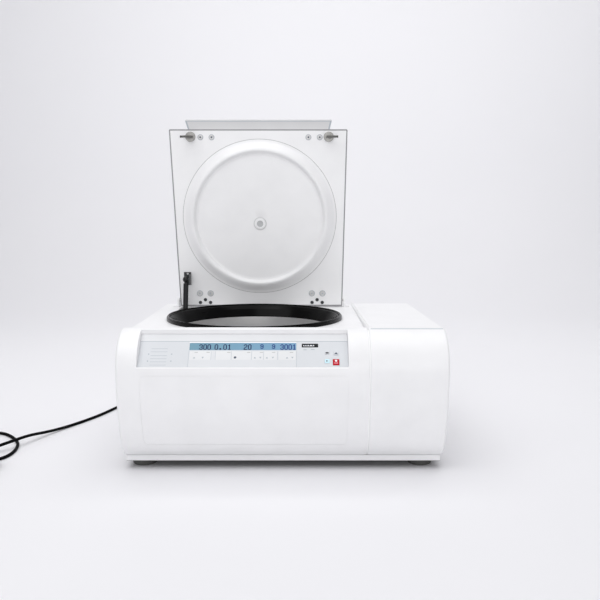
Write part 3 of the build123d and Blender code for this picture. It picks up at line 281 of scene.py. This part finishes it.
LOOK = {
    "white_plastic": "main_front_cover side_front_cover main_top_deck side_top_cover lid_shell viewport_ring",
    "white_sheet": "left_side_panel right_side_panel rear_panel hinge_brackets",
    "base": "base_plate",
    "liner_white": "lid_liner",
    "grey_sheet": "partition_wall armour_ring fan_shroud lock_housings strut_foot_bracket",
    "dark_trim": "lid_edge_trim",
    "handle": "lid_handle",
    "hook": "lock_hooks",
    "screw": "lid_screws hinge_bolts",
    "black_paint": "strut_cylinder",
    "gasket": "lid_gasket shaft_boot motor_dampers",
    "foot_rubber": "rubber_feet",
    "bowl_steel": "bowl",
    "steel": "hinge_shaft rotor_spindle lock_bolt_left lock_bolt_right",
    "bright_steel": "strut_rod",
    "dark_steel": "hinge_cap_screws strut_top_bracket",
    "foil": "membrane_panel",
    "red_key": "stop_key",
    "pale_key": "start_key",
    "grey_key": "lid_key pulse_key",
    "board": "control_board",
    "foam": "chamber_insulation",
    "copper": "refrigerant_circuit",
    "alloy": "rotor_yoke carrier_left carrier_right condenser",
    "motor": "drive_motor compressor",
    "black_plastic": "rotor_knob condenser_fan cord_relief switch_housing power_rocker mains_plug",
    "cord": "mains_cord cord_coil cord_tie",
    "lcd": "lcd_window",
    "clear": "viewport_lens",
}


def dress(obj, mat):
    """Give a mesh one material."""
    obj.data.materials.clear()
    obj.data.materials.append(mat)


EDGE_ANGLE = math.radians(28)
for look, names in LOOK.items():
    for name in names.split():
        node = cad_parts[name]
        dress(node, MATERIALS[look])
        node.data.shade_smooth()
        edges = node.modifiers.new("edges", "EDGE_SPLIT")
        edges.split_angle = EDGE_ANGLE


# ---------------------------------------------------------------- mains cord
CORD_R = 0.004
CORD_WAY = [
    (-320.0, 684.0, 68.8), (-320.0, 724.0, 67.0), (-362.0, 776.0, 40.0), (-440.0, 772.0, 10.0),
    (-500.0, 705.0, 4.0), (-529.0, 611.0, 4.0), (-560.0, 510.0, 4.0), (-612.0, 405.0, 4.0),
    (-650.0, 330.0, 9.0), (-674.0, 262.0, 21.0), (-704.0, 198.0, 21.0), (-756.0, 150.0, 11.0),
    (-806.0, 126.0, 5.0), (-850.0, 150.0, 4.0), (-868.0, 205.0, 4.0), (-858.0, 270.0, 4.0),
    (-826.0, 330.0, 4.0), (-775.0, 345.0, 4.0), (-705.0, 268.0, 4.0), (-680.0, 190.0, 4.0),
    (-686.0, 122.0, 4.0), (-742.0, 88.0, 4.0),
]
# The coil: its radius, the sides of one turn, the sides of all its turns, and the rise of one turn.
COIL_R = 42.0
COIL_SIDES = 18
COIL_STEPS = 57
COIL_PITCH = 8.4
# The last points before the plug: distance past the coil, and height.
PLUG_RUN = ((58, 17.5), (78, 16.5))


def cord_points():
    """The cord's route on the bench, its coil turn by turn, and the run to the plug."""
    points = [at(*p) for p in CORD_WAY]
    last, before = CORD_WAY[-1], CORD_WAY[-2]
    heading = math.atan2(last[1] - before[1], last[0] - before[0])
    cx = last[0] - COIL_R * math.sin(heading)
    cy = last[1] + COIL_R * math.cos(heading)
    reach = COIL_R / math.cos(math.pi / COIL_SIDES)
    for i in range(COIL_STEPS):
        a = heading - math.pi / 2 + 2 * math.pi * (i + 0.5) / COIL_SIDES
        z = last[2] + COIL_PITCH * (i + 0.5) / COIL_SIDES
        points.append(at(cx + reach * math.cos(a), cy + reach * math.sin(a), z))
    out = heading + 2 * math.pi * COIL_STEPS / COIL_SIDES
    hx, hy = math.cos(out), math.sin(out)
    tx, ty = cx + COIL_R * hy, cy - COIL_R * hx
    top = last[2] + COIL_PITCH * COIL_STEPS / COIL_SIDES
    for run, z in ((0, top), (24, top - 1.5), *PLUG_RUN):
        points.append(at(tx + hx * run, ty + hy * run, z))
    return points


def make_cord():
    """The whole mains lead as one smooth round curve, in place of its stiff solids."""
    curve = bpy.data.curves.new("mains_lead", "CURVE")
    curve.dimensions = "3D"
    curve.bevel_depth = CORD_R
    curve.bevel_resolution = 5
    curve.resolution_u = 8
    curve.use_fill_caps = True
    spline = curve.splines.new("NURBS")
    points = cord_points()
    spline.points.add(len(points) - 1)
    for p, q in zip(spline.points, points):
        p.co = (*q, 1)
    spline.order_u = 3
    spline.use_endpoint_u = True
    obj = bpy.data.objects.new("mains_lead", curve)
    scene.collection.objects.link(obj)
    curve.materials.append(MATERIALS["cord"])
    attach(obj, "housing")
    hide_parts("mains_cord", "cord_coil")
    return obj


make_cord()


# ---------------------------------------------------------------- outlines and thin pieces
def rect(x0, x1, t0, t1):
    """Corners of a rectangle."""
    return [(x0, t0), (x1, t0), (x1, t1), (x0, t1)]


def round_rect(x0, x1, t0, t1, r, n=4):
    """Points round a rectangle with rounded corners, n steps to a corner."""
    corners = [(x1 - r, t0 + r, -90), (x1 - r, t1 - r, 0), (x0 + r, t1 - r, 90), (x0 + r, t0 + r, 180)]
    out = []
    for cx, ct, a0 in corners:
        for i in range(n + 1):
            a = math.radians(a0 + 90 * i / n)
            out.append((cx + r * math.cos(a), ct + r * math.sin(a)))
    return out


def disc(x, t, r, n=16):
    """Points round a circle."""
    return [(x + r * math.cos(2 * math.pi * i / n), t + r * math.sin(2 * math.pi * i / n)) for i in range(n)]


def triangle(x, foot, half, tip):
    """A triangle from its foot line to a tip that lies further up the slope, or down where tip is below 0."""
    return [(x - half, foot), (x, foot - tip), (x + half, foot)]


def prism(bm, outline, low, high, place):
    """A thin plate from the corners of its outline."""
    bottom = [bm.verts.new(place(x, t, low)) for x, t in outline]
    top = [bm.verts.new(place(x, t, high)) for x, t in outline]
    n = len(outline)
    bm.faces.new(top)
    bm.faces.new(bottom[::-1])
    for i in range(n):
        bm.faces.new((bottom[i], bottom[(i + 1) % n], top[(i + 1) % n], top[i]))


def hoop(bm, x, t, inner, outer, low, high, place, n=120):
    """A thin flat ring round a point."""
    loops = []
    for r, h in ((inner, low), (inner, high), (outer, high), (outer, low)):
        turn = [2 * math.pi * i / n for i in range(n)]
        loops.append([bm.verts.new(place(x + r * math.cos(a), t + r * math.sin(a), h)) for a in turn])
    for a, b in zip(loops, loops[1:] + loops[:1]):
        for i in range(n):
            bm.faces.new((a[i], a[(i + 1) % n], b[(i + 1) % n], b[i]))


def built(name, bm, look, body):
    """The finished mesh as a piece that rides on a body."""
    bmesh.ops.recalc_face_normals(bm, faces=bm.faces)
    mesh = bpy.data.meshes.new(name)
    bm.to_mesh(mesh)
    bm.free()
    obj = bpy.data.objects.new(name, mesh)
    scene.collection.objects.link(obj)
    dress(obj, MATERIALS[look])
    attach(obj, body)


# ---------------------------------------------------------------- the control panel's plane
PANEL_LEFT, PANEL_RIGHT = -328.0, 148.7
# Depth and height of two points on the slope, at its upper edge and at its foot.
PANEL_TOP = (74.7, 336.3)
PANEL_LOW = (0.0, 250.2)
PANEL_RUN = PANEL_TOP[0] - PANEL_LOW[0]
PANEL_RISE = PANEL_TOP[1] - PANEL_LOW[1]
PANEL_UP = Vector((0, PANEL_RUN, PANEL_RISE)).normalized()
PANEL_OUT = Vector((0, -PANEL_RISE, PANEL_RUN)).normalized()
PANEL_O = at(0, *PANEL_TOP)
# Heights of the membrane, the display's window and the keys over the covers' sloped face.
FOIL = -1.5
LCD_FACE = FOIL + 0.2
KEY_FACE = FOIL + 0.9


def panel_point(x, t, h):
    """x across, t down the slope from its upper edge and h out of the slope, in millimetres."""
    return PANEL_O + Vector((x / 1000, 0, 0)) - PANEL_UP * (t / 1000) + PANEL_OUT * (h / 1000)


def layer(low, high, face=FOIL):
    """The two heights of a thin layer over a face of the panel, the membrane's unless told."""
    return face + low, face + high


INK = layer(0, 0.06)
ON_BOX = layer(0.1, 0.16)
ON_KEY = layer(-0.02, 0.06, KEY_FACE)


def printed(name, outlines, look, heights=INK, body="housing", place=panel_point, hoops=()):
    """One thin piece from flat outlines and rings."""
    bm = bmesh.new()
    for outline in outlines:
        prism(bm, outline, *heights, place)
    for x, t, inner, outer in hoops:
        hoop(bm, x, t, inner, outer, *heights, place)
    built(name, bm, look, body)


# ---------------------------------------------------------------- printing on the panel
def print_borders():
    """The pale header, its rule and the bright line over the display."""
    printed("header_field", [rect(PANEL_LEFT, PANEL_RIGHT, 17.6, 36.4)], "header_field", layer(0, 0.04))
    printed("header_rule", [rect(PANEL_LEFT, PANEL_RIGHT, 36.6, 37.8)], "print_and_shade_grey")
    printed("display_rim", [rect(-214.6, 31.6, 39.3, 41.2)], "bright_white")


KEY_FIELD = (-213.5, 31.0, 62.0, 104.8)
KEY_BOXES = ((-212, -164), (-153, -118.2), (-116, -72), (-69.5, -44.5), (-42.5, -13), (-9, 29.5))
BOX_TOP, BOX_FOOT = 64, 86
BOX_RULES = (-163.6, -153.6, -117.4, -71.1, -43.8, -12.2)
BOX_RULE_W = 0.6
FIELD_RULES = (-214.6, 31.2)
FIELD_RULE_W = 0.7
KEY_TICKS = (-197.6, -170.3, -123.1, -77.7, -48.7, -20.9, 20.0)
TICK_HALF = 3.8
ARROW_ROW = 80.5
ARROWS_UP = (-201.3, -63.2, -35.9, 10.0)
ARROWS_DOWN = (-182.0, -50.7, -22.4, 22.0)
ARROW_HALF, ARROW_FOOT, ARROW_LEN = 2.8, 2.1, 4.6


def print_keys():
    """The field under the display, down to the panel's foot: boxes with their ticks and arrows, and a line of
    painted shade at the foot.
    """
    printed("key_field", [round_rect(*KEY_FIELD, 2.0)], "key_field", layer(0, 0.05))
    boxes = [round_rect(x0, x1, BOX_TOP, BOX_FOOT, 1.5) for x0, x1 in KEY_BOXES]
    printed("key_boxes", boxes, "box_white", layer(0.05, 0.11))
    rules = [rect(x, x + FIELD_RULE_W, 62, 105.5) for x in FIELD_RULES]
    rules += [rect(x, x + BOX_RULE_W, BOX_TOP, BOX_FOOT) for x in BOX_RULES]
    printed("key_rules", rules, "print_and_shade_grey", layer(0.04, 0.12))
    # A line of painted shade along the gap at the panel's foot.
    printed("panel_foot_shade", [rect(PANEL_LEFT, PANEL_RIGHT, 107.2, 108.2)], "print_and_shade_pale")
    arrows = [triangle(x, ARROW_ROW + ARROW_FOOT, ARROW_HALF, ARROW_LEN) for x in ARROWS_UP]
    arrows += [triangle(x, ARROW_ROW - ARROW_FOOT, ARROW_HALF, -ARROW_LEN) for x in ARROWS_DOWN]
    printed("key_arrows", arrows, "print_and_shade_grey", ON_BOX)
    printed("key_dot", [disc(-108.3, 80.0, 3.0)], "print_and_shade_dark", ON_BOX)
    ticks = [rect(x - TICK_HALF, x + TICK_HALF, 65.8, 67.6) for x in KEY_TICKS]
    printed("key_ticks", ticks, "print_and_shade_pale", ON_BOX)


GUIDE_RIGHT = -263.5
GUIDE_HALF = 0.45
GUIDE_ROWS = ((-300.4, 56.9), (-301, 65.1), (-301, 75.1), (-300.8, 83.2), (-300.6, 91.3), (-301, 99.8))
GUIDE_DOTS = ((-305.8, 71.2), (-253.2, 71.2), (-306.2, 89.4), (-253.2, 89.4))


def print_guide():
    """Plain rows and dots at the left, in place of a short printed guide."""
    lines = [rect(x, GUIDE_RIGHT, t - GUIDE_HALF, t + GUIDE_HALF) for x, t in GUIDE_ROWS]
    printed("guide_lines", lines, "print_and_shade_grey")
    printed("guide_dots", [disc(x, t, 1.7) for x, t in GUIDE_DOTS], "print_and_shade_grey")


def print_asset_plate():
    """A small dark plate with a plain row of bars, and two marks under it."""
    plate, field, bars = layer(0, 0.25), layer(0.25, 0.31), layer(0.31, 0.37)
    printed("asset_plate", [round_rect(43.4, 81.2, 43.6, 53.4, 1.2)], "print_black", plate)
    printed("asset_field", [round_rect(46.8, 71.8, 47.2, 50.4, 0.6)], "print_white", field)
    row = [rect(x, x + 3.6, 47.2, 49.4) for x in (48.4, 53.6, 59.4, 66.4)]
    printed("asset_bars", row, "print_and_shade_dark", bars)
    printed("asset_marks", [rect(47.2, 54.6, 58.8, 60.6), rect(64.0, 73.0, 58.0, 60.0)], "print_and_shade_grey")


# ---------------------------------------------------------------- the display's digits
DOTS = {
    "0": ("01110", "10001", "10001", "10001", "10001", "10001", "01110"),
    "1": ("00100", "01100", "00100", "00100", "00100", "00100", "01110"),
    "2": ("01110", "10001", "00001", "00110", "01000", "10000", "11111"),
    "3": ("01110", "10001", "00001", "00110", "00001", "10001", "01110"),
    "9": ("01110", "10001", "10001", "01111", "00001", "10001", "01110"),
    ".": ("00000", "00000", "00000", "00000", "00000", "01100", "01100"),
}
DOT_COLUMNS, DOT_ROWS = 5, 7
DOT_GROW_X, DOT_GROW_T = 0.2, 0.02
DIGIT_ROW = 45.4
LARGE_DIGIT = (7.6, 14.2)
SMALL_DIGIT = (7.0, 11.5)
DARK_NUMBERS = (("300", -191.5, 9.4, LARGE_DIGIT), ("0.01", -156.2, 10.0, LARGE_DIGIT),
                ("20", -89.4, 9.6, LARGE_DIGIT))
BLUE_NUMBERS = (("9", -51.5, 9.3, SMALL_DIGIT), ("9", -24.8, 9.3, SMALL_DIGIT),
                ("3001", -5.6, 9.4, LARGE_DIGIT))


def digits(text, x, pitch, cell):
    """Dots of a plain dot-matrix number whose first cell starts at x. Neighbouring dots overlap a little."""
    w, h = cell[0] / DOT_COLUMNS, cell[1] / DOT_ROWS
    out = []
    for i, ch in enumerate(text):
        for r, row in enumerate(DOTS[ch]):
            for c, on in enumerate(row):
                if on == "1":
                    x0 = x + i * pitch + c * w
                    t0 = DIGIT_ROW + r * h
                    out.append(rect(x0 - DOT_GROW_X * w, x0 + (1 + DOT_GROW_X) * w,
                                    t0 - DOT_GROW_T * h, t0 + (1 + DOT_GROW_T) * h))
    return out


def print_numbers():
    """Plain numbers just under the display's window."""
    under_window = layer(-0.3, -0.08, LCD_FACE)
    for name, look, numbers in (("display_digits", "lcd_digit", DARK_NUMBERS),
                                ("display_digits_blue", "lcd_digit_blue", BLUE_NUMBERS)):
        dots = [dot for number in numbers for dot in digits(*number)]
        printed(name, dots, look, under_window)


# ---------------------------------------------------------------- marks on the keys
def print_key_marks():
    """A dot and a bar on the stop key, and plain signs on the other three."""
    printed("stop_mark", [disc(121.2, 88.9, 2.7)], "print_white", ON_KEY, "stop_key")
    printed("stop_bar", [rect(116.8, 125.6, 93.4, 96.4)], "print_pink", ON_KEY, "stop_key")
    play = [(98.8, 87.4), (104.2, 89.5), (98.8, 91.6)]
    printed("start_mark", [play], "print_and_shade_dark", ON_KEY, "start_key")
    printed("lid_mark", [triangle(121.5, 72.0, 4.1, 5.6)], "print_and_shade_dark", ON_KEY, "lid_key")
    pulse = round_rect(97.6, 104.8, 66.6, 70.2, 1.6)
    printed("pulse_mark", [pulse], "print_black", ON_KEY, "pulse_key")


# ---------------------------------------------------------------- the front covers' outline
# Depth and height of the points where its three arcs meet.
BROW_EDGE = (72.0, 335.0)
NOSE = (0.0, 245.0)
SHIN = (38.0, 68.0)
TOE = (70.0, 31.5)


def arc_from(start, inward, end):
    """Centre and radius of the arc that leaves start square to the inward direction and meets end."""
    run, rise = end[0] - start[0], end[1] - start[1]
    radius = (run ** 2 + rise ** 2) / (2 * (run * inward[0] + rise * inward[1]))
    return start[0] + radius * inward[0], start[1] + radius * inward[1], radius


BROW_ARC = arc_from(NOSE, (1, 0), BROW_EDGE)
BELLY_ARC = arc_from(NOSE, (1, 0), SHIN)
SHIN_INWARD = ((BELLY_ARC[0] - SHIN[0]) / BELLY_ARC[2], (BELLY_ARC[1] - SHIN[1]) / BELLY_ARC[2])
UNDER_ARC = arc_from(SHIN, SHIN_INWARD, TOE)


def cover_depth(z):
    """How far back the front covers' face lies at a height."""
    if z > NOSE[1]:
        x, centre, radius = BROW_ARC
    elif z > SHIN[1]:
        x, centre, radius = BELLY_ARC
    else:
        x, centre, radius = UNDER_ARC
    return x - math.sqrt(radius ** 2 - (z - centre) ** 2)


# ---------------------------------------------------------------- lines on the covers
# Under the panel the covers' face stands LIP_PROUD out of the panel's plane at LIP_T, and falls back below.
LIP_T, LIP_PROUD, LIP_FALL = 108.8, 3.56, 0.69
SEAL_LEFT, SEAL_RIGHT = 196.4, 198.4
SEAL_FRONT, SEAL_BACK = 0.9, 2.6
# Heights along the seam, closer together where the covers curve more.
SEAL_HEIGHTS = (35, *range(40, 88, 12), *range(88, 232, 24), *range(232, 329, 12), 331.5)
# Depth and height of the joint's front edge on the brow, and the way from there to its back edge.
JOINT = (66.0, 333.44)
JOINT_RUN, JOINT_RISE = 3.5, 0.96


def lip_point(x, t, h):
    """Like panel_point, on the covers' face under the panel, which leans back from the panel's plane."""
    return panel_point(x, t, h + LIP_PROUD - LIP_FALL * (t - LIP_T))


def brow_point(x, t, h):
    """x across, t from the front edge to the back edge of the joint (0 to 1), h over the brow."""
    return at(x, JOINT[0] + JOINT_RUN * t, JOINT[1] + JOINT_RISE * t + h)


def seam_seal():
    """The strip in the seam between the two front covers, a little behind their face."""
    bm = bmesh.new()
    section = rect(SEAL_LEFT, SEAL_RIGHT, SEAL_FRONT, SEAL_BACK)
    rings = [[bm.verts.new(at(x, cover_depth(z) + back, z)) for x, back in section] for z in SEAL_HEIGHTS]
    for a, b in zip(rings, rings[1:]):
        for i in range(4):
            bm.faces.new((a[i], a[(i + 1) % 4], b[(i + 1) % 4], b[i]))
    bm.faces.new(rings[0][::-1])
    bm.faces.new(rings[-1])
    built("seam_seal", bm, "bright_white", "housing")


def cover_lines():
    """A painted highlight along the lip under the panel, the seal in the seam and the dark joint at the
    seam's top.
    """
    # The strip along the lip's edge under the panel is a painted highlight.
    lip = rect(-328.0, 149.0, 108.5, 110.9)
    printed("panel_lip_highlight", [lip], "bright_white", (-0.2, 0.06), place=lip_point)
    seam_seal()
    joint = rect(203.5, 372.0, 0, 1)
    printed("top_joint", [joint], "print_and_shade_grey", (-0.2, 0.1), place=brow_point)


# ---------------------------------------------------------------- the gasket's lip
# The chamber's axis across and back, and the lip's inner and outer radius.
CHAMBER = (-82.0, 340.0)
GASKET_LIP = (228.8, 230.6)


def gasket_lip():
    """The gasket's thin soft lip, which stops just short of the shut lid's face at 333.5 mm."""
    printed("gasket_lip", [], "gasket", (331.0, 333.1), place=at,
            hoops=[(*CHAMBER, *GASKET_LIP)])


# ---------------------------------------------------------------- lines and sockets on the lid
# Places across and up from the lid's rear edge. A rivet has its radius as well.
RING = (-79.5, 267.0)
LENS = (-78.0, 249.0)
SCREWS = [(x, 498.2) for x in (-249.4, -217.0, 63.7, 96.5)]
BOLTS = [(x + side, 38.5) for x in (-246.0, 91.0) for side in (-16.0, 16.0)]
RIVETS = ((-296.5, 99.0, 3.0), (-301.5, 69.5, 2.6))
GRIP_LINES = (
    ((-292.6, 543.0), (130.6, 543.0), (131.0, 544.6), (-293.2, 544.6)),
    ((-285.6, 521.0), (-281.4, 521.0), (-288.0, 543.0), (-292.4, 543.0)),
    ((125.3, 521.0), (121.1, 521.0), (126.2, 543.0), (130.5, 543.0)),
)


def lid_marks():
    """Painted shade for the ring's groove, round the lens, and at the seats and sockets of the screws and
    bolts; also rivets and the handle's lines. Heights are out of the lid's inner face.
    """
    def mark(name, look, low, high, outlines=(), hoops=()):
        printed(name, outlines, look, (low, high), "lid", lid_point, hoops)

    # Painted shade in the groove round the lid's raised ring.
    mark("liner_groove_shade", "print_and_shade_pale", -0.2, 0.15, hoops=[(*RING, 225.3, 226.9)])
    # Painted shade round the lens's white ring.
    mark("viewport_shade_ring", "shade_ring_grey", 8.4, 9.75, hoops=[(*LENS, 16.2, 19.4)])
    # Painted shade round the heads of the lid's screws and hinge bolts.
    mark("screw_seat_shade", "print_and_shade_grey", -0.2, 0.12, hoops=[(*place, 6.5, 8.4) for place in SCREWS])
    mark("bolt_seat_shade", "print_and_shade_grey", -0.2, 0.12, hoops=[(*place, 7.5, 9.3) for place in BOLTS])
    # Painted shade in the sockets of the screws and bolts.
    mark("screw_socket_shade", "print_and_shade_dark", 0.95, 1.1, [disc(*place, 2.5) for place in SCREWS])
    mark("bolt_socket_shade", "print_and_shade_grey", 2.95, 3.06, [disc(*place, 2.4) for place in BOLTS])
    mark("bracket_rivets", "screw", 2.9, 4.0, [disc(*rivet) for rivet in RIVETS])
    mark("handle_lines", "print_and_shade_grey", -6.2, -5.9, GRIP_LINES)


print_borders()
print_keys()
print_guide()
print_asset_plate()
print_numbers()
cover_lines()
gasket_lip()
print_key_marks()
lid_marks()


# ---------------------------------------------------------------- stage and light
STAGE_ROWS = ((-5, 0), (-4, 0), (1.4, 0), (1.9, 0), (2.3, 0), (2.9, 0.1), (3.4, 0.45), (3.6, 1.0), (3.6, 5))
STAGE_HALF = 6
LIGHTS = (
    # name, place, aimed at, size, watts
    ("key", (-1.2, -1.6, 2.6), (0, 0, 0.3), (2.4, 1.8), 20),
    ("fill", (1.6, -2.2, 1.2), (0, 0, 0.4), (2.0, 2.0), 5),
    ("front", (0.1, -4.3, 0.8), (0, 0, 0.4), (3.2, 1.0), 26),
    ("top", (0, -0.4, 3.2), (0, -0.1, 0.2), (3.0, 2.4), 31),
    ("backdrop", (0.4, 1.0, 3.1), (0.3, 3.6, 0.6), (5.0, 1.4), 44),
)
SKY = (0.965, 0.965, 1.0, 1)
SKY_STRENGTH = 0.48


def stage():
    """A plain pale floor that is flat under the object and sweeps up behind it, in metres."""
    bm = bmesh.new()
    rows = [[bm.verts.new((x, y, z)) for x in (-STAGE_HALF, STAGE_HALF)] for y, z in STAGE_ROWS]
    for a, b in zip(rows, rows[1:]):
        bm.faces.new((a[0], a[1], b[1], b[0]))
    mesh = bpy.data.meshes.new("floor")
    bm.to_mesh(mesh)
    bm.free()
    obj = bpy.data.objects.new("floor", mesh)
    scene.collection.objects.link(obj)
    sweep = obj.modifiers.new("round", "SUBSURF")
    sweep.levels = 3
    sweep.render_levels = 3
    mesh.shade_smooth()
    dress(obj, surface("floor_paper", (0.86, 0.857, 0.876), 0.6, grain=0.05, mottle=0.004, mottle_scale=1.5))


def area(name, location, target, size, watts):
    """A soft rectangular light, in metres."""
    data = bpy.data.lights.new(name, "AREA")
    data.shape = "RECTANGLE"
    data.size, data.size_y = size
    data.energy = watts
    obj = bpy.data.objects.new(name, data)
    obj.location = location
    aim = Vector(target) - Vector(location)
    obj.rotation_euler = aim.to_track_quat("-Z", "Y").to_euler()
    scene.collection.objects.link(obj)


stage()
for light in LIGHTS:
    area(*light)
world = bpy.data.worlds.new("studio")
scene.world = world
world.use_nodes = True
world.node_tree.nodes["Background"].inputs["Color"].default_value = SKY
world.node_tree.nodes["Background"].inputs["Strength"].default_value = SKY_STRENGTH
scene.view_settings.view_transform = "Standard"
scene.view_settings.look = "None"
